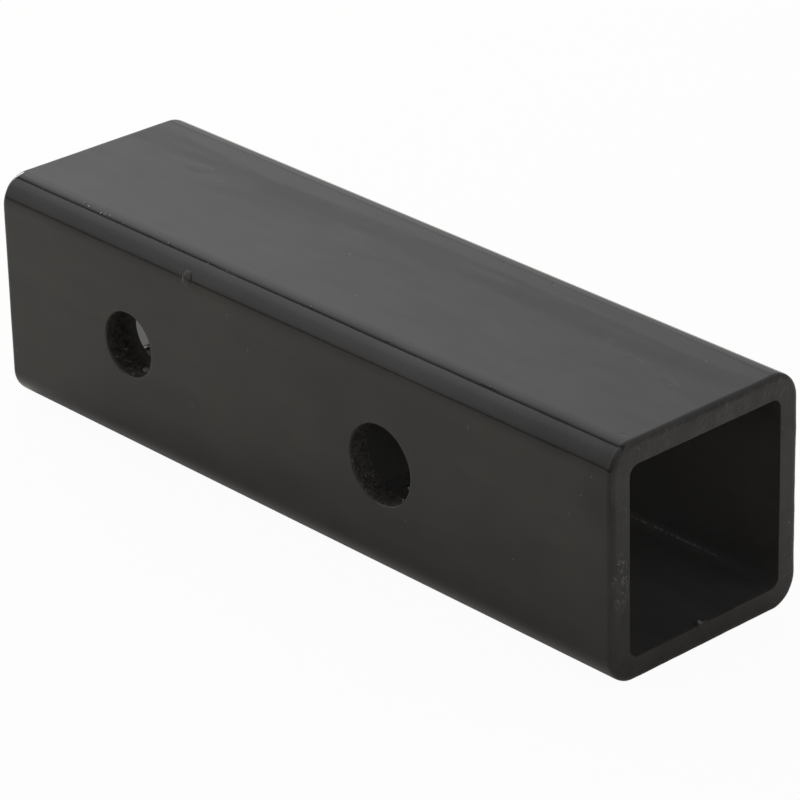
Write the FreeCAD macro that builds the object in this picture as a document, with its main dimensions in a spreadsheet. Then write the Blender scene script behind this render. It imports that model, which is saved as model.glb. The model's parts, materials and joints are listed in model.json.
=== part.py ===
import FreeCAD, Part
import os
import Sketcher

# Hitch receiver adapter: a square steel tube that slides into a large hitch receiver. A reducing
# sleeve inside its socket end takes a smaller shank, and a cross pin locks each of the two.
# Frame: X runs along the tube with the shank end at +X, Z is up, and the origin is the middle of
# the underside, so the adapter lies on its flat bottom.

doc = FreeCAD.newDocument("hitch_receiver_adapter")

# Driving dimensions in millimetres
DRIVING_SIZES = [
    ("tube_side", 50.8, "outside width and height of the square tube"),
    ("tube_length", 180.0, "length of the tube between its cut ends"),
    ("tube_wall", 5.0, "wall of the tube"),
    ("tube_corner_radius", 6.3, "outside radius of the tube's long corners"),
    ("tube_bore_radius", 2.3, "inside radius of the tube's long corners"),
    ("end_edge_radius", 1.5, "rounding of the outer edges of both cut ends"),
    ("bore_mouth_chamfer", 0.5, "edge break around the tube's bore at both ends"),
    ("shank_pin_bore", 17.4, "cross hole for the pin of the large receiver"),
    ("shank_pin_from_end", 63.5, "that hole's axis from the shank end"),
    ("socket_pin_bore", 14.3, "cross hole for the pin of the small shank"),
    ("socket_pin_from_end", 40.0, "that hole's axis from the socket end"),
    ("pin_bore_edge_break", 0.35, "edge break around the cross holes outside"),
    ("sleeve_wall", 3.0, "wall of the reducing sleeve"),
    ("sleeve_length", 98.0, "length of the reducing sleeve"),
    ("sleeve_clearance", 0.15, "gap between sleeve and tube on each side"),
    ("sleeve_corner_radius", 4.0, "outside radius of the sleeve's long corners"),
    ("sleeve_bore_radius", 1.6, "inside radius of the sleeve's long corners"),
    ("sleeve_mouth_chamfer", 0.8, "lead-in around the sleeve's bore at the socket end"),
]

sheet = doc.addObject("Spreadsheet::Sheet", "sizes")
for row, (alias, value, meaning) in enumerate(DRIVING_SIZES, start=1):
    sheet.set("A%d" % row, meaning)
    sheet.set("B%d" % row, str(value))
    sheet.setAlias("B%d" % row, alias)

# Sizes that follow from the driving ones
FOLLOWING_SIZES = [
    ("tube_bore", "=tube_side - 2 * tube_wall", "inside width of the tube"),
    ("axis_height", "=tube_side / 2", "height of the tube's axis and of the pin axes"),
    ("sleeve_side", "=tube_bore - 2 * sleeve_clearance", "outside width of the sleeve"),
    ("sleeve_bore", "=sleeve_side - 2 * sleeve_wall", "inside width of the sleeve, for the small shank"),
    ("shank_end", "=tube_length / 2", "X of the shank end"),
    ("socket_end", "=-tube_length / 2", "X of the socket end"),
    ("shank_pin_x", "=shank_end - shank_pin_from_end", "X of the large cross hole"),
    ("socket_pin_x", "=socket_end + socket_pin_from_end", "X of the small cross hole"),
]
for row, (alias, formula, meaning) in enumerate(FOLLOWING_SIZES, start=len(DRIVING_SIZES) + 1):
    sheet.set("A%d" % row, meaning)
    sheet.set("B%d" % row, formula)
    sheet.setAlias("B%d" % row, alias)
doc.recompute()

# How near a measured place has to be to the place that is looked for
NEAR = 1e-4


# Sketches and features shared by both pieces

def origin_plane(body, role):
    return [plane for plane in body.Origin.OriginFeatures if plane.Role == role][0]


def new_sketch(body, name, role):
    sketch = body.newObject("Sketcher::SketchObject", name)
    sketch.AttachmentSupport = [(origin_plane(body, role), "")]
    sketch.MapMode = "FlatFace"
    return sketch


def square_sketch(body, name, side, start_x):
    """Square of the given side around the tube's axis, in the plane X = start_x."""
    sketch = new_sketch(body, name, "YZ_Plane")
    sketch.setExpression("AttachmentOffset.Base.z", start_x)
    half = sheet.get(side) / 2
    low = sheet.axis_height - half
    high = sheet.axis_height + half
    corners = [(-half, low), (half, low), (half, high), (-half, high)]
    points = [FreeCAD.Vector(across, up, 0) for across, up in corners]
    for index in range(4):
        sketch.addGeometry(Part.LineSegment(points[index], points[(index + 1) % 4]), False)
    for index in range(4):
        sketch.addConstraint(Sketcher.Constraint("Coincident", index, 2, (index + 1) % 4, 1))
    sketch.addConstraint(Sketcher.Constraint("Horizontal", 0))
    sketch.addConstraint(Sketcher.Constraint("Vertical", 1))
    sketch.addConstraint(Sketcher.Constraint("Vertical", 3))
    sketch.addConstraint(Sketcher.Constraint("Symmetric", 2, 2, 2, 1, -2))
    width = sketch.addConstraint(Sketcher.Constraint("DistanceX", 0, 1, 0, 2, 2 * half))
    height = sketch.addConstraint(Sketcher.Constraint("DistanceY", 1, 1, 1, 2, 2 * half))
    top = sketch.addConstraint(Sketcher.Constraint("DistanceY", -1, 1, 2, 1, high))
    sketch.setExpression("Constraints[%d]" % width, "sizes." + side)
    sketch.setExpression("Constraints[%d]" % height, "sizes." + side)
    sketch.setExpression("Constraints[%d]" % top, "sizes.axis_height + sizes.%s / 2" % side)
    return sketch


def square_bar(body, name, side, start_x, length):
    """Square bar that runs from X = start_x towards +X."""
    bar = body.newObject("PartDesign::Pad", name)
    bar.Profile = square_sketch(body, name + "_section", side, start_x)
    bar.setExpression("Length", length)
    doc.recompute()
    return bar


def square_bore(body, name, side, start_x, length):
    """Square bore that runs from X = start_x towards +X through the body."""
    bore = body.newObject("PartDesign::Pocket", name)
    bore.Profile = square_sketch(body, name + "_section", side, start_x)
    bore.setExpression("Length", length)
    bore.Reversed = True
    doc.recompute()
    return bore


def cross_bore(body, name, place_x, diameter):
    """Round hole along Y through both side walls, at the height of the tube's axis."""
    sketch = new_sketch(body, name + "_circle", "XZ_Plane")
    centre = FreeCAD.Vector(sheet.get(place_x), sheet.axis_height, 0)
    normal = FreeCAD.Vector(0, 0, 1)
    sketch.addGeometry(Part.Circle(centre, normal, sheet.get(diameter) / 2), False)
    across = sketch.addConstraint(Sketcher.Constraint("Diameter", 0, sheet.get(diameter)))
    sketch.setExpression("Constraints[%d]" % across, "sizes." + diameter)
    height = sketch.addConstraint(Sketcher.Constraint("DistanceY", -1, 1, 0, 3, centre.y))
    sketch.setExpression("Constraints[%d]" % height, "sizes.axis_height")
    if centre.x > 0:
        along = sketch.addConstraint(Sketcher.Constraint("DistanceX", -1, 1, 0, 3, centre.x))
        sketch.setExpression("Constraints[%d]" % along, "sizes." + place_x)
    else:
        along = sketch.addConstraint(Sketcher.Constraint("DistanceX", 0, 3, -1, 1, -centre.x))
        sketch.setExpression("Constraints[%d]" % along, "-sizes." + place_x)
    bore = body.newObject("PartDesign::Pocket", name)
    bore.Profile = sketch
    bore.SideType = "Symmetric"
    bore.setExpression("Length", "2 * sizes.tube_side")
    doc.recompute()
    return bore


def edge_names(feature, edges):
    """Names under which a feature's shape knows the given edges."""
    known = feature.Shape.Edges
    return ["Edge%d" % (known.index(edge) + 1) for edge in known if any(edge.isSame(e) for e in edges)]


def lengthwise_edges(feature, side):
    """The four long edges of the square of the given side."""
    half = sheet.get(side) / 2
    found = []
    for edge in feature.Shape.Edges:
        middle = edge.BoundBox.Center
        straight = edge.BoundBox.YLength < NEAR and edge.BoundBox.ZLength < NEAR
        if straight and abs(abs(middle.y) - half) < NEAR and abs(abs(middle.z - sheet.axis_height) - half) < NEAR:
            found.append(edge)
    return found


def end_face(feature, end_x):
    """The flat face across the piece at X = end_x."""
    for face in feature.Shape.Faces:
        box = face.BoundBox
        if box.XLength < NEAR and abs(box.XMin - end_x) < NEAR:
            return face
    raise ValueError("no end face at X = %g" % end_x)


def outline_edges(feature, end_x):
    """The outer edges of the end face at X = end_x."""
    return end_face(feature, end_x).OuterWire.Edges


def mouth_edges(feature, end_x):
    """The edges around the bore in the end face at X = end_x."""
    face = end_face(feature, end_x)
    outer = face.OuterWire
    return [edge for wire in face.Wires if not wire.isSame(outer) for edge in wire.Edges]


def outer_rims(feature, side):
    """The round rims that the cross holes have in the side walls' outer faces."""
    half = sheet.get(side) / 2
    found = []
    for edge in feature.Shape.Edges:
        round_rim = isinstance(edge.Curve, Part.Circle) and edge.Closed
        if round_rim and abs(abs(edge.Curve.Center.y) - half) < NEAR:
            found.append(edge)
    return found


def rounded(body, name, base, edges, radius):
    fillet = body.newObject("PartDesign::Fillet", name)
    fillet.Base = (base, edge_names(base, edges))
    fillet.setExpression("Radius", "sizes." + radius)
    doc.recompute()
    return fillet


def chamfered(body, name, base, edges, size):
    chamfer = body.newObject("PartDesign::Chamfer", name)
    chamfer.Base = (base, edge_names(base, edges))
    chamfer.setExpression("Size", "sizes." + size)
    doc.recompute()
    return chamfer


# Outer tube: one length of cold-formed square tube, cut square at both ends and cross-drilled
# for the two pins, with its cut edges and the holes' rims taken off.
tube = doc.addObject("PartDesign::Body", "adapter_tube")
tube.Label = "adapter_tube"
step = square_bar(tube, "tube_bar", "tube_side", "sizes.socket_end", "sizes.tube_length")
step = rounded(tube, "tube_corners", step, lengthwise_edges(step, "tube_side"), "tube_corner_radius")
step = square_bore(tube, "tube_hollow", "tube_bore", "sizes.socket_end", "sizes.tube_length")
step = rounded(tube, "hollow_corners", step, lengthwise_edges(step, "tube_bore"), "tube_bore_radius")
step = cross_bore(tube, "shank_pin_hole", "shank_pin_x", "shank_pin_bore")
step = cross_bore(tube, "socket_pin_hole", "socket_pin_x", "socket_pin_bore")
step = chamfered(tube, "pin_hole_rims", step, outer_rims(step, "tube_side"), "pin_bore_edge_break")
ends = [sheet.shank_end, sheet.socket_end]
outlines = [edge for end_x in ends for edge in outline_edges(step, end_x)]
step = rounded(tube, "end_edges", step, outlines, "end_edge_radius")
mouths = [edge for end_x in ends for edge in mouth_edges(step, end_x)]
step = chamfered(tube, "hollow_mouths", step, mouths, "bore_mouth_chamfer")
tube.Tip = step

# Reducing sleeve: a thinner square tube inside the socket end, flush with it, whose bore takes
# the smaller shank. Its pin hole is drilled together with the tube's.
sleeve = doc.addObject("PartDesign::Body", "reducer_sleeve")
sleeve.Label = "reducer_sleeve"
step = square_bar(sleeve, "sleeve_bar", "sleeve_side", "sizes.socket_end", "sizes.sleeve_length")
step = rounded(sleeve, "sleeve_corners", step, lengthwise_edges(step, "sleeve_side"), "sleeve_corner_radius")
step = square_bore(sleeve, "socket", "sleeve_bore", "sizes.socket_end", "sizes.sleeve_length")
step = rounded(sleeve, "socket_corners", step, lengthwise_edges(step, "sleeve_bore"), "sleeve_bore_radius")
step = cross_bore(sleeve, "sleeve_pin_hole", "socket_pin_x", "socket_pin_bore")
mouth = mouth_edges(step, sheet.socket_end)
step = chamfered(sleeve, "socket_mouth", step, mouth, "sleeve_mouth_chamfer")
sleeve.Tip = step

# Final check of every object, then one file for each piece
doc.recompute()
for item in doc.Objects:
    if "Invalid" in item.State or "Error" in item.State:
        raise RuntimeError("%s could not be built: %s" % (item.Label, item.State))

os.makedirs("parts", exist_ok=True)
for piece in (tube, sleeve):
    if piece.Shape.isNull() or not piece.Shape.isValid() or len(piece.Shape.Solids) != 1:
        raise RuntimeError("%s is not one sound solid" % piece.Label)
    piece.Shape.exportStep("parts/%s.step" % piece.Label)
    box = piece.Shape.optimalBoundingBox()
    print("%s: %.1f x %.1f x %.1f mm, %.0f mm3" % (
        piece.Label, box.XLength, box.YLength, box.ZLength, piece.Shape.Volume))
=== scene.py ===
import json
import math

import bmesh
import bpy
from mathutils import Euler, Matrix, Vector, noise


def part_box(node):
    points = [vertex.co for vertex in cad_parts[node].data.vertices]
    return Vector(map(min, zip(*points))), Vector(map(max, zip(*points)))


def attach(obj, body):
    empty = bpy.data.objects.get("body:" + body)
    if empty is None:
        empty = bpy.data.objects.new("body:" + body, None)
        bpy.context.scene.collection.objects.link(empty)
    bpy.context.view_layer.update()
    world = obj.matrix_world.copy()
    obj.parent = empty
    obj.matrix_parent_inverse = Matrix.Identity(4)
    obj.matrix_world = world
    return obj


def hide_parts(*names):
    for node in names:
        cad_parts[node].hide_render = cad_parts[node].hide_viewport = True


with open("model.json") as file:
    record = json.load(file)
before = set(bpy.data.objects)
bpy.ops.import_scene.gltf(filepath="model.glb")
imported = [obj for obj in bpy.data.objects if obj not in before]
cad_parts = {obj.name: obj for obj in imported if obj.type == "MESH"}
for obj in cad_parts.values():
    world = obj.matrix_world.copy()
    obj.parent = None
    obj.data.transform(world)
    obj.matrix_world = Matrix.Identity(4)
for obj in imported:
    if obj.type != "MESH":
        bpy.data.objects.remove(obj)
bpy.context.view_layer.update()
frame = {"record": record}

# Outer tube
# One length of cold-formed square steel tube with rounded corners, sawn off at both ends and
# cross-drilled for two pins. Its cut edges are rubbed down and it is dipped in black satin paint.
tube_low, tube_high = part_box("adapter_tube")
TUBE_SIDE = tube_high.z - tube_low.z
AXIS_HEIGHT = TUBE_SIDE / 2
TUBE_WALL = 0.0050
TUBE_CORNER = 0.0063
TUBE_BORE_CORNER = 0.0023
CORNER_STEPS = 16
END_EDGE = 0.0015
END_EDGE_STEPS = 6
END_EDGE_FULLNESS = 0.62
BORE_MOUTH = 0.0002
BORE_MOUTH_STEPS = 2
STRIP_WIDTH = 0.0012
CROSS_SPACING = 0.006
SMOOTH_ANGLE = 32
NEAR = 0.00002


def deselect_all():
    bpy.ops.object.select_all(action="DESELECT")


def pick(piece, kind, wanted):
    """In edit mode, select only the vertices, edges or faces that are wanted."""
    modes = {"verts": "VERT", "edges": "EDGE", "faces": "FACE"}
    bpy.ops.mesh.select_mode(type=modes[kind])
    bpy.ops.mesh.select_all(action="DESELECT")
    shape = bmesh.from_edit_mesh(piece.data)
    for item in getattr(shape, kind):
        item.select_set(wanted(item))
    shape.select_flush_mode()
    bmesh.update_edit_mesh(piece.data)


def middle(edge):
    return (edge.verts[0].co + edge.verts[1].co) / 2


def runs_along(edge, axis):
    step = edge.verts[1].co - edge.verts[0].co
    return abs(step[axis]) > 0.999 * step.length


def square_shell(name, side, length, middle_x, corner):
    """Square bar around the tube's axis with round long corners and no ends."""
    deselect_all()
    bpy.ops.mesh.primitive_cube_add(size=1, location=(middle_x, 0, AXIS_HEIGHT), scale=(length, side, side))
    shell = bpy.context.object
    shell.name = name
    bpy.ops.object.transform_apply(location=True, rotation=True, scale=True)
    bpy.ops.object.mode_set(mode="EDIT")
    pick(shell, "edges", lambda edge: runs_along(edge, 0))
    bpy.ops.mesh.bevel(offset=corner, segments=CORNER_STEPS, affect="EDGES", clamp_overlap=False)
    pick(shell, "faces", lambda face: abs(face.normal.x) > 0.9)
    bpy.ops.mesh.delete(type="ONLY_FACE")
    bpy.ops.object.mode_set(mode="OBJECT")
    return shell


def square_tube(name, low_x, high_x, outer, inner, outer_corner, inner_corner):
    """Outer and inner shell, joined and bridged at both ends."""
    length = high_x - low_x
    middle_x = (low_x + high_x) / 2
    skin = square_shell(name, outer, length, middle_x, outer_corner)
    lining = square_shell(name + "_lining", inner, length, middle_x, inner_corner)
    bpy.ops.object.mode_set(mode="EDIT")
    bpy.ops.mesh.select_all(action="SELECT")
    bpy.ops.mesh.flip_normals()
    bpy.ops.object.mode_set(mode="OBJECT")
    lining.select_set(True)
    skin.select_set(True)
    bpy.context.view_layer.objects.active = skin
    bpy.ops.object.join()
    bpy.ops.object.mode_set(mode="EDIT")
    for end_x in (low_x, high_x):
        pick(skin, "edges", lambda edge: edge.is_boundary and abs(middle(edge).x - end_x) < NEAR)
        bpy.ops.mesh.bridge_edge_loops()
    return skin


def soften_end(piece, end_x, side, corner, size, steps):
    """Bevel the edges that outline the square of the given side at one end."""
    reach = side / 2 - corner * (1 - math.sqrt(0.5))

    def on_outline(edge):
        place = middle(edge)
        across = max(abs(place.y), abs(place.z - AXIS_HEIGHT))
        on_square = across > reach - NEAR and across < side / 2 + NEAR
        return abs(place.x - end_x) < NEAR and not runs_along(edge, 0) and on_square

    pick(piece, "edges", on_outline)
    bpy.ops.mesh.bevel(offset=size, segments=steps, profile=END_EDGE_FULLNESS, affect="EDGES",
                       clamp_overlap=False)


def cross_cut(piece, places):
    """Divide the long faces crosswise at places along X."""
    for place_x in places:
        bpy.ops.mesh.select_all(action="SELECT")
        bpy.ops.mesh.bisect(plane_co=(place_x, 0, 0), plane_no=(1, 0, 0))


def score_flats(piece):
    """Divide the flat walls into narrow strips, so that walls and cut ends can be uneven."""
    shortest = 0.5 * TUBE_SIDE
    pick(piece, "edges", lambda edge: edge.calc_length() > shortest and not runs_along(edge, 0))
    bpy.ops.mesh.subdivide(number_cuts=round(TUBE_SIDE / STRIP_WIDTH) - 1)


TUBE_BORE = TUBE_SIDE - 2 * TUBE_WALL
tube = square_tube("tube", tube_low.x, tube_high.x, TUBE_SIDE, TUBE_BORE, TUBE_CORNER, TUBE_BORE_CORNER)
for end_x in (tube_low.x, tube_high.x):
    soften_end(tube, end_x, TUBE_SIDE, TUBE_CORNER, END_EDGE, END_EDGE_STEPS)
    soften_end(tube, end_x, TUBE_BORE, TUBE_BORE_CORNER, BORE_MOUTH, BORE_MOUTH_STEPS)
cross_count = round((tube_high.x - tube_low.x) / CROSS_SPACING)
cross_cut(tube, [tube_low.x + CROSS_SPACING * step for step in range(1, cross_count)])
score_flats(tube)
bpy.ops.object.mode_set(mode="OBJECT")

# The rolls left a long shallow hollow in the upper wall beside its back corner. Its depths at
# places along the tube are listed, and it is patchy along and across.
HOLLOW_FRONT = 0.0068
HOLLOW_BOTTOM = 0.0152
HOLLOW_BACK = 0.0190
HOLLOW_DEPTHS = ((-0.089, 0.00003), (-0.078, 0.00004), (-0.066, 0.00011), (-0.030, 0.00011),
                 (-0.012, 0.00008), (0.000, 0.00010), (0.012, 0.00012), (0.028, 0.00011),
                 (0.045, 0.00018), (0.060, 0.00014), (0.076, 0.00012), (0.089, 0.00004))
PATCHES_ALONG = 70
PATCHES_ACROSS = 260
PATCHES_LAYER = 3
PATCHINESS = 0.5


def ease(share):
    share = min(max(share, 0), 1)
    return share * share * (3 - 2 * share)


def hollow_depth(place_x):
    """Depth of the hollow at a place along the tube, eased between the given depths."""
    for (last_x, last_depth), (next_x, next_depth) in zip(HOLLOW_DEPTHS, HOLLOW_DEPTHS[1:]):
        if last_x <= place_x <= next_x:
            share = ease((place_x - last_x) / (next_x - last_x))
            return last_depth + (next_depth - last_depth) * share
    return 0


def sink_hollow(piece):
    for corner in piece.data.vertices:
        if corner.co.z > TUBE_SIDE - NEAR and corner.co.y > HOLLOW_FRONT:
            fall = ease((corner.co.y - HOLLOW_FRONT) / (HOLLOW_BOTTOM - HOLLOW_FRONT))
            rise = ease((HOLLOW_BACK - corner.co.y) / (HOLLOW_BACK - HOLLOW_BOTTOM))
            patch = Vector((corner.co.x * PATCHES_ALONG, corner.co.y * PATCHES_ACROSS, PATCHES_LAYER))
            patchy = 1 + PATCHINESS * noise.noise(patch)
            corner.co.z -= hollow_depth(corner.co.x) * fall * rise * patchy


sink_hollow(tube)

# The ends were cut with a saw held by hand. It wandered in slow and fast waves, ran out of square
# at the socket end by the run-out across the tube, and the rims were rubbed down unevenly.
SAW_STRAY = 0.00012
SLOW_WAVES = 130
FAST_WAVES = 520
SAW_RUN_OUT = 0.0016
RIM_STRAY = 0.00016
RIM_WAVES = 220
RUBBED_DEPTH = 0.0006


def wander(place):
    """How far the saw strayed into the piece at a place on the cut."""
    slow = noise.noise(place * SLOW_WAVES)
    fast = noise.noise(place * FAST_WAVES)
    return SAW_STRAY * (0.6 + 0.5 * slow + 0.3 * fast)


def saw_off(piece, low_x, high_x):
    """Move the ends' vertices inwards to the saw's line, and rub their rims."""
    for corner in piece.data.vertices:
        place = Vector((0, corner.co.y, corner.co.z))
        off_axis = place - Vector((0, 0, AXIS_HEIGHT))
        across = max(abs(off_axis.y), abs(off_axis.z))
        from_end = min(corner.co.x - low_x, high_x - corner.co.x)
        if from_end < RUBBED_DEPTH and across > TUBE_SIDE / 2 - END_EDGE - NEAR:
            uneven = 0.6 + 0.8 * noise.noise(place * RIM_WAVES)
            rubbed = RIM_STRAY * (1 - from_end / RUBBED_DEPTH) * uneven
            off_axis *= 1 - rubbed / across
            corner.co = Vector((corner.co.x, off_axis.y, off_axis.z + AXIS_HEIGHT))
        if corner.co.x < low_x + END_EDGE + NEAR:
            corner.co.x += wander(place) + SAW_RUN_OUT * (0.5 + corner.co.y / TUBE_SIDE)
        elif corner.co.x > high_x - END_EDGE - NEAR:
            corner.co.x -= wander(place + Vector((1, 0, 0)))


saw_off(tube, tube_low.x, tube_high.x)

# Pin holes
# Two holes drilled right through both side walls: the large one takes the receiver's pin and the
# small one the pin of the smaller shank. The drill left uneven walls under the paint.
mounts = {mount["name"]: mount for mount in frame["record"]["mounts"]}
shank_pin = mounts["shank_pin_hole"]
socket_pin = mounts["socket_pin_hole"]
# The large drill started a little back towards the socket end and low, and cut under size.
DRILL_BACK = 0.00018
DRILL_LOW = 0.00029
DRILL_UNDER_SIZE = 0.0001
SHANK_PIN_HOLE = (shank_pin["pos_m"][0] - DRILL_BACK, AXIS_HEIGHT - DRILL_LOW,
                  shank_pin["dims"]["r_mm"] / 1000 - DRILL_UNDER_SIZE)
SOCKET_PIN_HOLE = (socket_pin["pos_m"][0], AXIS_HEIGHT, socket_pin["dims"]["r_mm"] / 1000)
PIN_HOLE_SIDES = 96
PIN_RIM = 0.00035
PIN_RIM_BENDS = (90, 60, 30, 0)
PIN_BORE_RINGS = (0.2, 0.4, 0.6, 0.8, 1)
DRILL_CHATTER = 0.00004
CHATTER_WAVES = 700


def drill(name, hole):
    """A drill's path along Y, wider where it breaks out through the rims."""
    place_x, place_z, radius = hole
    half = TUBE_SIDE / 2
    rings = [(-half - PIN_RIM, radius + PIN_RIM)]
    for angle in PIN_RIM_BENDS:
        bend = math.radians(angle)
        rings.append((-half + PIN_RIM * (1 - math.sin(bend)), radius + PIN_RIM * (1 - math.cos(bend))))
    rings += [(-half + TUBE_WALL * share, radius) for share in PIN_BORE_RINGS]
    rings += [(-y, wide) for y, wide in reversed(rings)]
    deselect_all()
    bpy.ops.mesh.primitive_circle_add(vertices=PIN_HOLE_SIDES, radius=rings[0][1], fill_type="NGON",
                                      location=(place_x, rings[0][0], place_z),
                                      rotation=(math.radians(90), 0, 0))
    path = bpy.context.object
    path.name = name
    bpy.ops.object.transform_apply(location=True, rotation=True, scale=True)
    bpy.ops.object.mode_set(mode="EDIT")
    bpy.ops.mesh.select_all(action="SELECT")
    for (last_y, last_wide), (y, wide) in zip(rings, rings[1:]):
        bpy.ops.mesh.extrude_region_move(TRANSFORM_OT_translate={"value": (0, y - last_y, 0)})
        grow = wide / last_wide
        bpy.ops.transform.resize(value=(grow, 1, grow), center_override=(place_x, y, place_z))
    bpy.ops.mesh.select_all(action="SELECT")
    bpy.ops.mesh.normals_make_consistent(inside=False)
    bpy.ops.object.mode_set(mode="OBJECT")
    for corner in path.data.vertices:
        spoke = Vector((corner.co.x - place_x, 0, corner.co.z - place_z))
        corner.co += spoke.normalized() * DRILL_CHATTER * noise.noise(corner.co * CHATTER_WAVES)
    return path


def combine(piece, tool, operation):
    """Cut the tool out of the piece (DIFFERENCE) or grow it onto the piece (UNION)."""
    deselect_all()
    bpy.context.view_layer.objects.active = piece
    piece.select_set(True)
    step = piece.modifiers.new("step", "BOOLEAN")
    step.operation = operation
    step.solver = "EXACT"
    step.object = tool
    bpy.ops.object.modifier_apply(modifier=step.name)
    bpy.data.objects.remove(tool)


combine(tube, drill("shank_pin_drill", SHANK_PIN_HOLE), "DIFFERENCE")
combine(tube, drill("socket_pin_drill", SOCKET_PIN_HOLE), "DIFFERENCE")

# Nibs, drips and dents
# A blister and dust nibs dried into the paint of the front corner, a drip and bits in the rims of
# the pin holes, a burr left on the cut mouth, and shallow dents that the tube got in the rack.
# Blisters: place along X, angle from the top towards the side, depth sunk and half sizes. Nibs have
# a place and an angle too, and a scale.
BLISTERS = ((-0.0304, 70, 0.00010, (0.00155, 0.00185, 0.00031)),
            (-0.0325, 60, 0.00012, (0.00030, 0.00030, 0.00022)),
            (-0.0312, 83, 0.00014, (0.00030, 0.00024, 0.00019)))
NIB_SUNK = 0.00008
NIB_SIZE = (0.00038, 0.00030, 0.00017)
NIBS = ((-0.0672, 17, 1.0), (-0.0655, 21, 0.7), (-0.0612, 23, 1.1), (-0.0588, 19, 0.6),
        (-0.0541, 24, 0.6), (-0.0399, 22, 0.9), (-0.0217, 25, 0.6), (0.0032, 22, 0.7),
        (0.0265, 24, 0.6), (0.0541, 21, 0.8), (0.0702, 33, 0.7))
BURR_PLACE = Vector((0.0893, -0.0011, 0.0052))
BURR_SIZE = (0.00050, 0.00042, 0.00058)
BURR_TAIL_OFFSET = Vector((0.0001, 0.0010, -0.0002))
BURR_TAIL_SIZE = (0.00045, 0.00120, 0.00034)
DRIP_PLACE = Vector((-0.0453, -0.0246, 0.0209))
DRIP_SIZE = (0.00110, 0.00055, 0.00045)
# Bits in the rims: place along X, height and half size; all sit equally deep in the wall.
RIM_BITS = ((0.0346, 0.0229, 0.00045), (0.0329, 0.0196, 0.00050), (-0.0441, 0.0217, 0.00035))
RIM_BIT_SUNK = 0.00030
RIM_BIT_THICK = 0.00028
# Dents in the upper wall: X, Y, half length, half width, twist and depth; in the side: X, Z,
# half size and depth.
TOP_DENTS = ((0.0660, 0.0055, 0.0030, 0.0009, -7, 0.00004), (0.0775, 0.0032, 0.0027, 0.0009, -9, 0.00004),
             (0.0770, 0.0118, 0.0011, 0.0008, 12, 0.00004), (0.0560, 0.0085, 0.0024, 0.0008, -5, 0.00003),
             (0.0424, 0.0112, 0.0030, 0.0011, 4, 0.00004), (0.0032, 0.0122, 0.0022, 0.0008, 8, 0.00003),
             (-0.0635, 0.0072, 0.0042, 0.0026, 0, 0.00004), (-0.0560, 0.0066, 0.0009, 0.0018, -14, 0.00003),
             (-0.0795, 0.0124, 0.0024, 0.0014, 6, 0.00003), (0.0303, 0.0182, 0.0004, 0.0011, 8, 0.00006),
             (0.0160, 0.0189, 0.0003, 0.0008, 0, 0.00004), (0.0866, -0.0186, 0.0013, 0.0004, 24, 0.00003))
SIDE_DENTS = ((0.0364, 0.0321, 0.00020, 0.00005), (0.0385, 0.0327, 0.00020, 0.00005),
              (0.0362, 0.0304, 0.00024, 0.00006), (0.0117, 0.0402, 0.00016, 0.00004),
              (-0.0070, 0.0352, 0.00018, 0.00004), (0.0635, 0.0187, 0.00018, 0.00004),
              (-0.0225, 0.0218, 0.00018, 0.00004), (0.0702, 0.0372, 0.00016, 0.00004),
              (-0.0680, 0.0142, 0.00020, 0.00004))


def ball(place, size, lean=0, twist=0):
    """A flattened ball: half sizes along X, along the wall and through it, leaning about X."""
    deselect_all()
    bpy.ops.mesh.primitive_uv_sphere_add(segments=32, ring_count=20, radius=1)
    bpy.ops.transform.resize(value=size)
    bpy.ops.transform.rotate(value=-math.radians(twist), orient_axis="Z", center_override=(0, 0, 0))
    bpy.ops.transform.rotate(value=-math.radians(lean), orient_axis="X", center_override=(0, 0, 0))
    bpy.ops.transform.translate(value=place)
    bpy.ops.object.transform_apply(location=True, rotation=True, scale=True)
    return bpy.context.object


def corner_ball(place_x, angle, sunk, size):
    """A ball wrapped on the round front corner, at an angle from the top towards the side."""
    grown = ball((place_x, 0, 0), size)
    for corner in grown.data.vertices:
        around = math.radians(angle) - corner.co.y / TUBE_CORNER
        far = TUBE_CORNER - sunk + corner.co.z
        corner.co.y = max(TUBE_CORNER - TUBE_SIDE / 2 - far * math.sin(around), NEAR - TUBE_SIDE / 2)
        corner.co.z = TUBE_SIDE - TUBE_CORNER + far * math.cos(around)
    return grown


def dent(place, half_x, half_y, twist, deep, lean=0):
    """A ball that dips into a flat wall from outside, just deep enough for a dent of that size."""
    thick = deep * 3
    wide = math.sqrt(1 - (1 - deep / thick) ** 2)
    way_out = Vector((0, -math.sin(math.radians(lean)), math.cos(math.radians(lean))))
    return ball(Vector(place) + way_out * (thick - deep), (half_x / wide, half_y / wide, thick), lean, twist)


def gather(balls):
    """Join balls that don't touch one another into one tool."""
    deselect_all()
    for one in balls:
        one.select_set(True)
    bpy.context.view_layer.objects.active = balls[0]
    bpy.ops.object.join()
    return balls[0]


def smooth(piece):
    """Smooth the rounded edges and keep the flat walls flat."""
    deselect_all()
    bpy.context.view_layer.objects.active = piece
    piece.select_set(True)
    bpy.ops.object.shade_smooth_by_angle(angle=math.radians(SMOOTH_ANGLE))
    even = piece.modifiers.new("even", "WEIGHTED_NORMAL")
    even.keep_sharp = True
    bpy.ops.object.modifier_apply(modifier=even.name)


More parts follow.
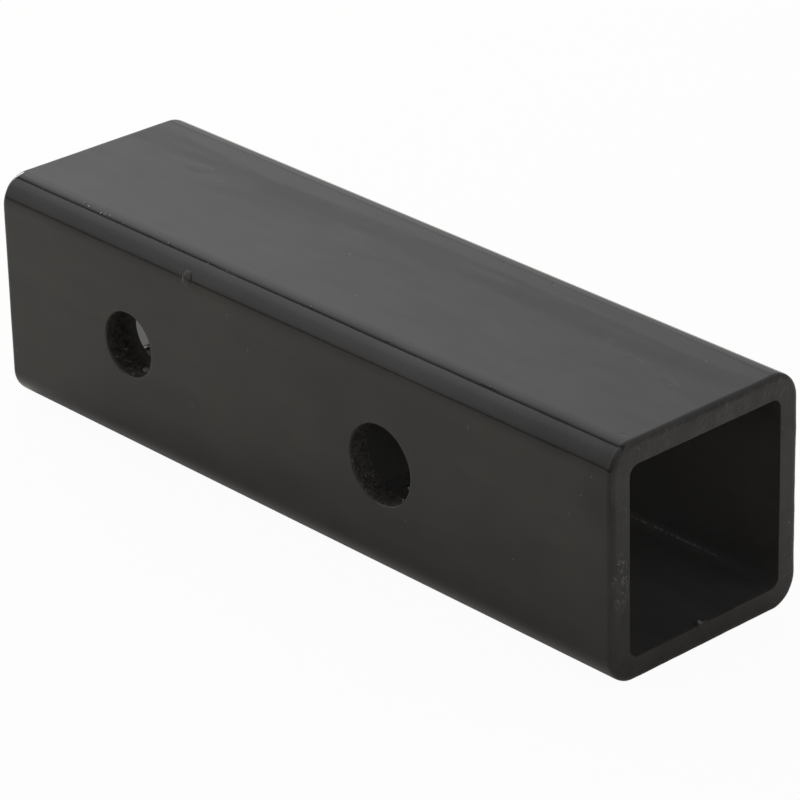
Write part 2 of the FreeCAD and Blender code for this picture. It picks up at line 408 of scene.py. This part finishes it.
grown = [corner_ball(*blister) for blister in BLISTERS]
grown.append(gather([corner_ball(place_x, angle, NIB_SUNK, tuple(half * scale for half in NIB_SIZE))
                     for place_x, angle, scale in NIBS]))
grown.append(ball(BURR_PLACE, BURR_SIZE))
grown.append(ball(BURR_PLACE + BURR_TAIL_OFFSET, BURR_TAIL_SIZE))
grown.append(ball(DRIP_PLACE, DRIP_SIZE))
for place_x, place_z, half in RIM_BITS:
    grown.append(ball((place_x, RIM_BIT_SUNK - TUBE_SIDE / 2, place_z), (half, RIM_BIT_THICK, half)))
for nib in grown:
    combine(tube, nib, "UNION")

dents = [dent((x, y, TUBE_SIDE), half_x, half_y, twist, deep)
         for x, y, half_x, half_y, twist, deep in TOP_DENTS]
dents += [dent((x, -TUBE_SIDE / 2, z), half, half, 0, deep, lean=90) for x, z, half, deep in SIDE_DENTS]
combine(tube, gather(dents), "DIFFERENCE")
smooth(tube)

# Paint
# Black satin enamel over the whole tube. It lies smooth on the rolled outside with faint smears
# along the tube, thin over grinding marks on the sawn ends, and rough and gritty in the holes.
OUTSIDE_DARK = (0.0092, 0.0086, 0.0068, 1)
OUTSIDE_LIGHT = (0.0208, 0.0196, 0.0156, 1)
WARM_BLACK = (0.0050, 0.0046, 0.0034, 1)
DUST_GREY = (0.072, 0.071, 0.064, 1)
ENAMEL_IOR = 1.45
# Patterns are counted in patches to the metre, and streaks in how far they are drawn out.
CLOUDS = 60
SMEARS = 260
SMEAR_STREAK = (5, 1, 1)
SMEAR_SHARE = 0.45
SMEAR_HEIGHT = 0.12
GLOSS_PATCHES = 95
WAVES = 85
WAVE_STREAK = (2.5, 1, 1)
PEEL = 1400
OUTSIDE_GRAINS = 330
# A thumb mark near the open end is where the paint is darkest.
THUMB_PLACE = (0.0868, -0.0254, 0.0395)
THUMB_REACH = (0.0072, 0.0040, 0.0082)


def add_node(paint, kind, **settings):
    node = paint.node_tree.nodes.new(kind)
    for name, value in settings.items():
        setattr(node, name, value)
    return node


def join(paint, output, node, socket):
    paint.node_tree.links.new(output, node.inputs[socket])


def own_place(paint):
    """The piece's own coordinates."""
    return paint.node_tree.nodes["Texture Coordinate"].outputs["Object"]


def own_axes(paint):
    """The piece's own coordinates as separate X, Y and Z."""
    axes = add_node(paint, "ShaderNodeSeparateXYZ")
    join(paint, own_place(paint), axes, "Vector")
    return axes.outputs


def drawn_out(paint, scale, turn=0):
    """The piece's own coordinates drawn out, so that a pattern becomes streaks."""
    drawn = add_node(paint, "ShaderNodeMapping", vector_type="TEXTURE")
    drawn.inputs["Rotation"].default_value = (math.radians(turn), 0, 0)
    drawn.inputs["Scale"].default_value = scale
    join(paint, own_place(paint), drawn, "Vector")
    return drawn.outputs["Vector"]


def cloudy(paint, place, scale, detail, roughness=0.5):
    """A soft uneven pattern between 0 and 1."""
    cloud = add_node(paint, "ShaderNodeTexNoise")
    cloud.inputs["Scale"].default_value = scale
    cloud.inputs["Detail"].default_value = detail
    cloud.inputs["Roughness"].default_value = roughness
    join(paint, place, cloud, "Vector")
    return cloud.outputs["Fac"]


def spread(paint, level, low, high, from_low=0.3, from_high=0.7):
    """Map a pattern's levels, by default its middle ones, to a range of the maker's own."""
    scaled = add_node(paint, "ShaderNodeMapRange")
    scaled.inputs["From Min"].default_value = from_low
    scaled.inputs["From Max"].default_value = from_high
    scaled.inputs["To Min"].default_value = low
    scaled.inputs["To Max"].default_value = high
    join(paint, level, scaled, "Value")
    return scaled.outputs["Result"]


def sums(paint, operation, first, second=None, third=None):
    """One step of arithmetic on up to three terms, each a number or the output of a node."""
    step = add_node(paint, "ShaderNodeMath", operation=operation)
    for socket, term in enumerate((first, second, third)):
        if isinstance(term, (int, float)):
            step.inputs[socket].default_value = term
        elif term:
            join(paint, term, step, socket)
    return step.outputs["Value"]


def raised(paint, height, distance, under=None):
    """A bump of a given height, on top of the one under it."""
    bump = add_node(paint, "ShaderNodeBump")
    bump.inputs["Distance"].default_value = distance
    join(paint, height, bump, "Height")
    if under:
        join(paint, under.outputs["Normal"], bump, "Normal")
    return bump


def shader_of(paint):
    return paint.node_tree.nodes["Principled BSDF"]


def lay_over(paint, share, colour):
    """Lay a colour over the paint's own by a share between 0 and 1."""
    below = shader_of(paint).inputs["Base Color"].links[0].from_socket
    blend = add_node(paint, "ShaderNodeMix", data_type="RGBA")
    join(paint, below, blend, "A")
    blend.inputs["B"].default_value = colour
    join(paint, share, blend, "Factor")
    join(paint, blend.outputs["Result"], shader_of(paint), "Base Color")


def specks(paint, scale, size, kept):
    """Small round grains in some cells of a pattern: size in cells, kept as a share of all cells."""
    cells = add_node(paint, "ShaderNodeTexVoronoi")
    cells.inputs["Scale"].default_value = scale
    join(paint, own_place(paint), cells, "Vector")
    lot = add_node(paint, "ShaderNodeSeparateColor")
    join(paint, cells.outputs["Color"], lot, "Color")
    chosen = sums(paint, "LESS_THAN", lot.outputs["Red"], kept)
    grown = sums(paint, "MULTIPLY", lot.outputs["Green"], size)
    inside = sums(paint, "LESS_THAN", cells.outputs["Distance"], grown)
    return sums(paint, "MULTIPLY", inside, chosen)


def nearness(paint, centre, reach, full, none):
    """1 around a centre and 0 far from it; it fades between two shares of the reach."""
    zone = add_node(paint, "ShaderNodeMapping", vector_type="TEXTURE")
    zone.inputs["Location"].default_value = centre
    zone.inputs["Scale"].default_value = reach
    join(paint, own_place(paint), zone, "Vector")
    far = add_node(paint, "ShaderNodeVectorMath", operation="LENGTH")
    join(paint, zone.outputs["Vector"], far, 0)
    return spread(paint, far.outputs["Value"], 1, 0, full, none)


def enamel(name, dark, light, gloss, peel, waviness):
    """Satin enamel: cloudy tone, smears along X, uneven gloss, slow waves and a fine orange peel."""
    paint = bpy.data.materials.new(name)
    paint.use_nodes = True
    add_node(paint, "ShaderNodeTexCoord")
    shader_of(paint).inputs["IOR"].default_value = ENAMEL_IOR
    clouds = cloudy(paint, own_place(paint), CLOUDS, 5, 0.6)
    smears = cloudy(paint, drawn_out(paint, SMEAR_STREAK), SMEARS, 3)
    cloud_part = sums(paint, "MULTIPLY", clouds, 1 - SMEAR_SHARE)
    both = sums(paint, "MULTIPLY_ADD", smears, SMEAR_SHARE, cloud_part)
    tone = add_node(paint, "ShaderNodeMix", data_type="RGBA")
    tone.inputs["A"].default_value = dark
    tone.inputs["B"].default_value = light
    join(paint, spread(paint, both, 0, 1, 0.34, 0.66), tone, "Factor")
    join(paint, tone.outputs["Result"], shader_of(paint), "Base Color")
    sheen = cloudy(paint, own_place(paint), GLOSS_PATCHES, 5)
    join(paint, spread(paint, sheen, gloss[0], gloss[1]), shader_of(paint), "Roughness")
    waves = raised(paint, cloudy(paint, drawn_out(paint, WAVE_STREAK), WAVES, 2), waviness)
    rolled = raised(paint, smears, waviness * SMEAR_HEIGHT, waves)
    skin = raised(paint, cloudy(paint, own_place(paint), PEEL, 2), peel, rolled)
    join(paint, skin.outputs["Normal"], shader_of(paint), "Normal")
    return paint


outside_paint = enamel("outside_paint", OUTSIDE_DARK, OUTSIDE_LIGHT, gloss=(0.085, 0.125),
                       peel=0.000005, waviness=0.00011)
lay_over(outside_paint, nearness(outside_paint, THUMB_PLACE, THUMB_REACH, full=0.30, none=1.00), WARM_BLACK)
lay_over(outside_paint, specks(outside_paint, OUTSIDE_GRAINS, size=0.12, kept=0.07), DUST_GREY)

# The sawn ends: diagonal grinding marks that are strongest along the top, painted shade that darkens them
# towards the floor, dust grains, and a patch near the front corner where the paint has chipped off.
END_DARK = (0.0120, 0.0108, 0.0090, 1)
END_LIGHT = (0.0330, 0.0305, 0.0265, 1)
END_DUST = (0.120, 0.117, 0.106, 1)
BARE_GREY = (0.200, 0.195, 0.180, 1)
SCUFFS = 1900
SCUFF_STREAK = (1, 4, 1)
SCUFF_TURN = 45
SCUFF_PATCHES = 240
SCUFF_SHARE = 0.60
SCUFF_HEIGHT = 0.00009
SCUFFS_START = 0.043
SCUFFS_FULL = 0.0465
PAINTED_SHADE_LOW_EDGE = (0.001, 0.009)
PAINTED_SHADE_LOW_SHARE = 0.55
END_GRAINS = 900
CHIPS = 900
CHIP_PATCHES = 420
CHIP_LINE = 0.53
CHIP_WIDTH = 0.020
CHIP_PLACE = (0.090, -0.0229, 0.0222)
CHIP_REACH = (0.010, 0.0022, 0.0068)

end_paint = enamel("sawn_end_paint", END_DARK, END_LIGHT, gloss=(0.26, 0.42),
                   peel=0.00004, waviness=0.00010)
end_axes = own_axes(end_paint)
scuffs = cloudy(end_paint, drawn_out(end_paint, SCUFF_STREAK, SCUFF_TURN), SCUFFS, 2, 0.6)
scuff_patches = cloudy(end_paint, own_place(end_paint), SCUFF_PATCHES, 2)
up_top = spread(end_paint, end_axes["Z"], 0.08, 1, SCUFFS_START, SCUFFS_FULL)
rubbed = sums(end_paint, "MULTIPLY", spread(end_paint, scuff_patches, 0, 1, 0.42, 0.58), up_top)
scuffed = sums(end_paint, "MULTIPLY", spread(end_paint, scuffs, 0, 1, 0.50, 0.66), rubbed)
lay_over(end_paint, sums(end_paint, "MULTIPLY", scuffed, SCUFF_SHARE), DUST_GREY)
# Painted shade: the sawn ends turn darker towards the floor.
lay_over(end_paint, spread(end_paint, end_axes["Z"], PAINTED_SHADE_LOW_SHARE, 0, *PAINTED_SHADE_LOW_EDGE), WARM_BLACK)
under_scuffs = shader_of(end_paint).inputs["Normal"].links[0].from_node
scuff_bump = raised(end_paint, scuffs, SCUFF_HEIGHT, under_scuffs)
join(end_paint, up_top, scuff_bump, "Strength")
join(end_paint, scuff_bump.outputs["Normal"], shader_of(end_paint), "Normal")
lay_over(end_paint, specks(end_paint, END_GRAINS, size=0.22, kept=0.16), END_DUST)
chip_near = nearness(end_paint, CHIP_PLACE, CHIP_REACH, full=0.55, none=1.05)
chips = cloudy(end_paint, own_place(end_paint), CHIPS, 2, 0.6)
chip_edge = sums(end_paint, "ABSOLUTE", sums(end_paint, "SUBTRACT", chips, CHIP_LINE))
chipped = sums(end_paint, "LESS_THAN", chip_edge, CHIP_WIDTH)
chip_patches = cloudy(end_paint, own_place(end_paint), CHIP_PATCHES, 1)
chip_share = sums(end_paint, "MULTIPLY", chip_near, spread(end_paint, chip_patches, 0, 0.85, 0.44, 0.54))
lay_over(end_paint, sums(end_paint, "MULTIPLY", chipped, chip_share), BARE_GREY)

# Inside the bore the paint is laid lighter grey the deeper it lies from the mouth: painted light, standing
# in for light that hardly reaches so far in.
# Along the lower back corner it carries a thin broken line of lighter grey, a painted highlight on the
# corner's rounding.
BORE_DARK = (0.0290, 0.0278, 0.0262, 1)
BORE_LIGHT = (0.0450, 0.0434, 0.0410, 1)
BORE_PAINTED_LIGHT_GREY = (0.230, 0.225, 0.215, 1)
BORE_SHINE = 0.30
BORE_PAINTED_LIGHT_DEPTH = 0.080
# Painted highlight: a thin broken grey line along the rounding of the bore's lower back corner.
PAINTED_HIGHLIGHT_GREY = (0.310, 0.300, 0.275, 1)
PAINTED_HIGHLIGHT_PLACE = (0.0570, 0.0199, 0.0059)
PAINTED_HIGHLIGHT_REACH = (0.0210, 0.00038, 0.00038)
PAINTED_HIGHLIGHT_BREAKS = 900


def lighten_inwards_as_painted_light(paint, mouth_x, deep_x, colour):
    """Lay the colour over the paint more and more from the mouth inwards: painted light for the dim depths.
    """
    lay_over(paint, spread(paint, own_axes(paint)["X"], 0, 1, mouth_x, deep_x), colour)


bore_paint = enamel("bore_paint", BORE_DARK, BORE_LIGHT, gloss=(0.50, 0.65),
                    peel=0.00004, waviness=0.00010)
# Painted light: the bore's paint turns lighter grey from the near mouth inwards, where less light reaches.
lighten_inwards_as_painted_light(bore_paint, tube_high.x, tube_high.x - BORE_PAINTED_LIGHT_DEPTH, BORE_PAINTED_LIGHT_GREY)
shader_of(bore_paint).inputs["Specular IOR Level"].default_value = BORE_SHINE
# The painted highlight line, broken up by a pattern, laid over the bore's paint.
highlight_near = nearness(bore_paint, PAINTED_HIGHLIGHT_PLACE, PAINTED_HIGHLIGHT_REACH, full=0.10, none=1.00)
highlight_breaks = cloudy(bore_paint, own_place(bore_paint), PAINTED_HIGHLIGHT_BREAKS, 2)
painted_highlight_share = sums(bore_paint, "MULTIPLY", highlight_near, spread(bore_paint, highlight_breaks, 0.05, 1, 0.42, 0.62))
lay_over(bore_paint, painted_highlight_share, PAINTED_HIGHLIGHT_GREY)

# In the pin holes the dip caught grit. Behind the outer wall the paint is laid lighter grey towards the
# middle: painted light, standing in for light that hardly reaches there.
HOLE_DARK = (0.0400, 0.0370, 0.0320, 1)
HOLE_LIGHT = (0.0680, 0.0630, 0.0550, 1)
GRIT_GREY = (0.150, 0.140, 0.120, 1)
GREY_OF_PAINTED_LIGHT = (0.150, 0.146, 0.140, 1)
GRIT = 1500
HOLE_GRAINS = 1900
HOLE_PAINTED_LIGHT_FROM = TUBE_SIDE / 2 - TUBE_WALL
HOLE_PAINTED_LIGHT_TO = TUBE_SIDE / 2 - TUBE_WALL * 1.6
HOLE_PAINTED_LIGHT_SHARE = 0.60
# How far the gritty paint of the burr and the dull paint of the drip reach around them. The burr takes the
# pin holes' paint and with it their painted light, which lays it lighter grey.
BURR_REACH = 0.0007
DRIP_REACH = 0.0014

hole_paint = enamel("pin_hole_paint", HOLE_DARK, HOLE_LIGHT, gloss=(0.50, 0.70),
                    peel=0.00010, waviness=0.00010)
grit = cloudy(hole_paint, own_place(hole_paint), GRIT, 3, 0.7)
lay_over(hole_paint, spread(hole_paint, grit, 0, 0.78, 0.54, 0.44), WARM_BLACK)
lay_over(hole_paint, specks(hole_paint, HOLE_GRAINS, size=0.45, kept=0.22), GRIT_GREY)
# Painted light: lighter grey from behind the outer wall towards the middle, also on the burr.
from_middle = sums(hole_paint, "ABSOLUTE", own_axes(hole_paint)["Y"])
lay_over(hole_paint, spread(hole_paint, from_middle, 0, HOLE_PAINTED_LIGHT_SHARE, HOLE_PAINTED_LIGHT_FROM, HOLE_PAINTED_LIGHT_TO), GREY_OF_PAINTED_LIGHT)


def paint_over(piece, coats):
    """Give each coat the faces that its test wants, the later coats last."""
    piece.data.materials.clear()
    for coat, wanted in coats:
        piece.data.materials.append(coat)
        for face in piece.data.polygons:
            if wanted(face):
                face.material_index = len(piece.data.materials) - 1


def everywhere(face):
    return True


def on_sawn_end(face):
    return abs(face.normal.x) > 0.68


def inside_bore(face):
    reach = TUBE_SIDE / 2 - TUBE_WALL + BORE_MOUTH
    across = max(abs(face.center.y), abs(face.center.z - AXIS_HEIGHT))
    return across < reach + NEAR and abs(face.normal.x) < 0.95


def in_pin_hole(face):
    for place_x, place_z, radius in (SHANK_PIN_HOLE, SOCKET_PIN_HOLE):
        off_axis = math.hypot(face.center.x - place_x, face.center.z - place_z)
        if off_axis < radius + NEAR * 3 and abs(face.normal.y) < 0.3:
            return True
    return False


def on_burr(face):
    return (face.center - BURR_PLACE).length < BURR_REACH and abs(face.normal.z) < 0.98


def on_drip(face):
    return (face.center - DRIP_PLACE).length < DRIP_REACH and face.center.z > DRIP_PLACE.z


def in_hole_or_on_burr(face):
    return in_pin_hole(face) or on_burr(face)


paint_over(tube, [(outside_paint, everywhere), (end_paint, on_sawn_end), (bore_paint, inside_bore),
                  (hole_paint, in_hole_or_on_burr), (end_paint, on_drip)])
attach(tube, "root")
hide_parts("adapter_tube")

# Reducing sleeve
# A thinner square steel tube pushed into the socket end until it is flush, tacked in place and
# dipped together with the tube. Its bore takes the smaller shank.
sleeve_low, sleeve_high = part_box("reducer_sleeve")
SLEEVE_SIDE = sleeve_high.z - sleeve_low.z
SLEEVE_WALL = 0.0030
SLEEVE_BORE = SLEEVE_SIDE - 2 * SLEEVE_WALL
SLEEVE_CORNER = 0.0040
SLEEVE_BORE_CORNER = 0.0016
SOCKET_MOUTH = 0.0008
SOCKET_MOUTH_STEPS = 3
# The dip coated the socket's mouth as far as this. Behind it the paint is thin and dull.
GLOSSY_DEPTH = 0.0145
glossy_end = sleeve_low.x + GLOSSY_DEPTH
# A bead of spatter from the tack weld sits on the floor of the socket. Its pale grey is partly the bare
# steel of the spatter and partly painted light, so that its unlit side looks lit.
SPATTER_PLACE = Vector((-0.0740, -0.0012, sleeve_low.z + SLEEVE_WALL))
SPATTER_SIZE = (0.00070, 0.00070, 0.00050)

sleeve = square_tube("sleeve", sleeve_low.x, sleeve_high.x, SLEEVE_SIDE, SLEEVE_BORE,
                     SLEEVE_CORNER, SLEEVE_BORE_CORNER)
soften_end(sleeve, sleeve_low.x, SLEEVE_BORE, SLEEVE_BORE_CORNER, SOCKET_MOUTH, SOCKET_MOUTH_STEPS)
cross_cut(sleeve, [glossy_end - 0.002, glossy_end, glossy_end + 0.003])
score_flats(sleeve)
bpy.ops.object.mode_set(mode="OBJECT")
saw_off(sleeve, sleeve_low.x, sleeve_high.x)
combine(sleeve, drill("sleeve_pin_drill", SOCKET_PIN_HOLE), "DIFFERENCE")
combine(sleeve, ball(SPATTER_PLACE, SPATTER_SIZE), "UNION")
smooth(sleeve)

# The sleeve's paint is laid lighter grey deeper in from the socket's mouth: painted light, standing in for
# light that hardly reaches so far in.
SLEEVE_DARK = (0.0300, 0.0288, 0.0268, 1)
SLEEVE_LIGHT = (0.0450, 0.0434, 0.0405, 1)
SLEEVE_PAINTED_LIGHT_GREY = (0.185, 0.180, 0.171, 1)
SLEEVE_SHINE = 0.12
SLEEVE_PAINTED_LIGHT_FROM = 0.022
SLEEVE_PAINTED_LIGHT_TO = 0.066
SPATTER_PALE_AND_PAINTED_LIGHT = (0.330, 0.320, 0.300, 1)

sleeve_paint = enamel("sleeve_paint", SLEEVE_DARK, SLEEVE_LIGHT, gloss=(0.60, 0.75),
                      peel=0.00003, waviness=0.00010)
lighten_inwards_as_painted_light(sleeve_paint, sleeve_low.x + SLEEVE_PAINTED_LIGHT_FROM, sleeve_low.x + SLEEVE_PAINTED_LIGHT_TO, SLEEVE_PAINTED_LIGHT_GREY)
shader_of(sleeve_paint).inputs["Specular IOR Level"].default_value = SLEEVE_SHINE
# Spatter grey: partly bare steel, partly painted light on the bead's unlit side.
spatter_and_painted_light_paint = enamel("spatter_grey", GREY_OF_PAINTED_LIGHT, SPATTER_PALE_AND_PAINTED_LIGHT, gloss=(0.35, 0.50),
                       peel=0.00003, waviness=0.00005)


def in_glossy_mouth(face):
    return face.center.x < glossy_end


def on_mouth_end(face):
    return on_sawn_end(face) and face.center.x < 0


def in_hole_or_on_inner_end(face):
    return in_pin_hole(face) or on_sawn_end(face) and face.center.x > 0


def on_spatter(face):
    away = math.hypot(face.center.x - SPATTER_PLACE.x, face.center.y - SPATTER_PLACE.y)
    return away < SPATTER_SIZE[0] and SPATTER_PLACE.z + NEAR / 4 < face.center.z < AXIS_HEIGHT


paint_over(sleeve, [(sleeve_paint, everywhere), (outside_paint, in_glossy_mouth), (end_paint, on_mouth_end),
                    (hole_paint, in_hole_or_on_inner_end), (spatter_and_painted_light_paint, on_spatter)])
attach(sleeve, "root")
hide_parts("reducer_sleeve")

# Floor
# A sheet of plain white paper under the adapter. Its colour carries the white ground, and its own
# shading stays in part, so the shadow under the tube shows.
FLOOR_SIDE = 8
PAPER_COLOUR = (0.87, 0.855, 0.79, 1)
PAPER_ROUGHNESS = 0.9
FLOOR_WHITE = 0.96
SHINE_WHITE = 0.05

deselect_all()
bpy.ops.mesh.primitive_plane_add(size=FLOOR_SIDE)
floor = bpy.context.object
floor.name = "floor"
paper = bpy.data.materials.new("floor_paper")
paper.use_nodes = True
paper_shader = shader_of(paper)
paper_shader.inputs["Base Color"].default_value = PAPER_COLOUR
paper_shader.inputs["Roughness"].default_value = PAPER_ROUGHNESS
paper_shader.inputs["Specular IOR Level"].default_value = 0
# The camera sees mostly plain white. The adapter's shine sees little of it.
rays = add_node(paper, "ShaderNodeLightPath").outputs
shines = sums(paper, "MAXIMUM", rays["Is Glossy Ray"], rays["Is Transmission Ray"])
shine_share = sums(paper, "MULTIPLY", shines, SHINE_WHITE)
white_share = sums(paper, "MULTIPLY_ADD", rays["Is Camera Ray"], FLOOR_WHITE, shine_share)
white = add_node(paper, "ShaderNodeEmission")
white.inputs["Strength"].default_value = 1
blend = add_node(paper, "ShaderNodeMixShader")
join(paper, white_share, blend, "Fac")
join(paper, paper_shader.outputs["BSDF"], blend, 1)
join(paper, white.outputs["Emission"], blend, 2)
join(paper, blend.outputs["Shader"], paper.node_tree.nodes["Material Output"], "Surface")
floor.data.materials.append(paper)

# Studio light
# A white tent lit from the left: a screen behind, a panel overhead that fades towards the front,
# and a dark gap between them, which draws the thin line along the tube's front corner.
TENT_WHITE = 1.6
CLOTH_TINT = (1, 0.982, 1.012)
# Levels from the horizon behind over the top, at 0.5, to the horizon in front.
TENT_BANDS = ((0.000, 0.28), (0.050, 0.38), (0.111, 0.51), (0.150, 0.58), (0.176, 0.44), (0.196, 0.66),
              (0.215, 0.69), (0.260, 0.76), (0.350, 0.86), (0.420, 0.77), (0.472, 0.44), (0.482, 0.10),
              (0.512, 0.10), (0.522, 1.00), (0.547, 0.90), (0.647, 0.84), (0.724, 0.68), (0.800, 0.62),
              (0.880, 0.57), (0.935, 0.50), (0.972, 0.40), (0.984, 0.10), (1.000, 0.06))
# The back half is full white on the left and fades to a share of it between these directions.
WHITE_TO = -0.74
DARK_FROM = -0.38
DARK_SIDE = 0.50
# Levels of the front half from the left to the right.
FRONT_LEVELS = ((0.000, 0.90), (0.130, 0.90), (0.178, 1.10), (0.1815, 0.99), (0.1835, 0.75), (0.187, 0.54),
                (0.192, 0.56), (0.205, 1.10), (0.230, 1.05), (0.310, 0.50), (1.000, 0.42))
LAMP_PLACE = (-0.58, 0.12, 0.28)
LAMP_WIDTH = 0.23
LAMP_RADIANCE = 7.5


def ramp(paint, place, levels):
    """The cloth's white, which has a trace of mauve, with the given levels at their places."""
    cloth = add_node(paint, "ShaderNodeValToRGB")
    stops = cloth.color_ramp.elements
    while len(stops) < len(levels):
        stops.new(0.5)
    for stop, (position, level) in zip(stops, levels):
        stop.position = position
    for stop, (position, level) in zip(stops, levels):
        stop.color = [level * tint for tint in CLOTH_TINT] + [1]
    join(paint, place, cloth, "Fac")
    return cloth.outputs["Color"]


tent = bpy.data.worlds.new("tent")
bpy.context.scene.world = tent
tent.use_nodes = True
way = add_node(tent, "ShaderNodeTexCoord")
parts = add_node(tent, "ShaderNodeSeparateXYZ")
join(tent, way.outputs["Generated"], parts, "Vector")
height_angle = sums(tent, "ARCTAN2", parts.outputs["Z"], parts.outputs["Y"])
half_turns = sums(tent, "DIVIDE", height_angle, math.pi)
back_side = spread(tent, parts.outputs["X"], TENT_WHITE, TENT_WHITE * DARK_SIDE, WHITE_TO, DARK_FROM)
back_side.node.interpolation_type = "SMOOTHSTEP"
across = sums(tent, "MULTIPLY_ADD", parts.outputs["X"], 0.5, 0.5)
front_side = sums(tent, "MULTIPLY", ramp(tent, across, FRONT_LEVELS), TENT_WHITE)
sides = add_node(tent, "ShaderNodeMix", data_type="FLOAT")
join(tent, sums(tent, "GREATER_THAN", half_turns, 0.5), sides, "Factor")
join(tent, back_side, sides, "A")
join(tent, front_side, sides, "B")
background = tent.node_tree.nodes["Background"]
join(tent, ramp(tent, half_turns, TENT_BANDS), background, "Color")
join(tent, sides.outputs["Result"], background, "Strength")

deselect_all()
lamp_aim = Vector((0, 0, AXIS_HEIGHT)) - Vector(LAMP_PLACE)
lamp_turn = lamp_aim.to_track_quat("-Z", "Y").to_euler()
bpy.ops.object.light_add(type="AREA", location=LAMP_PLACE, rotation=lamp_turn)
lamp = bpy.context.object
lamp.name = "left_soft_box"
lamp.data.shape = "DISK"
lamp.data.size = LAMP_WIDTH
lamp.data.energy = LAMP_RADIANCE * math.pi * math.pi * (LAMP_WIDTH / 2) ** 2
lamp.visible_camera = False

# Camera
# A long lens at the height of a table product shot, looking down on the near end of the tube
# and along the side with the pin holes.
AZIMUTH = math.radians(47.756)
ELEVATION = math.radians(26.362)
ROLL = math.radians(-1.425)
DISTANCE = 0.94747
AIM_RIGHT = 0.00331
AIM_UP = -0.00378
SENSOR_WIDTH = 36
FOCAL_LENGTH = 211.19

turn = Euler((math.radians(90) - ELEVATION, 0, AZIMUTH)).to_matrix() @ Matrix.Rotation(ROLL, 3, "Z")
aim = Vector((0, 0, AXIS_HEIGHT))
camera_place = aim + turn @ Vector((AIM_RIGHT, AIM_UP, DISTANCE))
deselect_all()
bpy.ops.object.camera_add(location=camera_place, rotation=turn.to_euler())
camera = bpy.context.object
camera.name = "camera"
camera.data.sensor_width = SENSOR_WIDTH
camera.data.lens = FOCAL_LENGTH
bpy.context.scene.camera = camera
bpy.context.scene.view_settings.view_transform = "Standard"
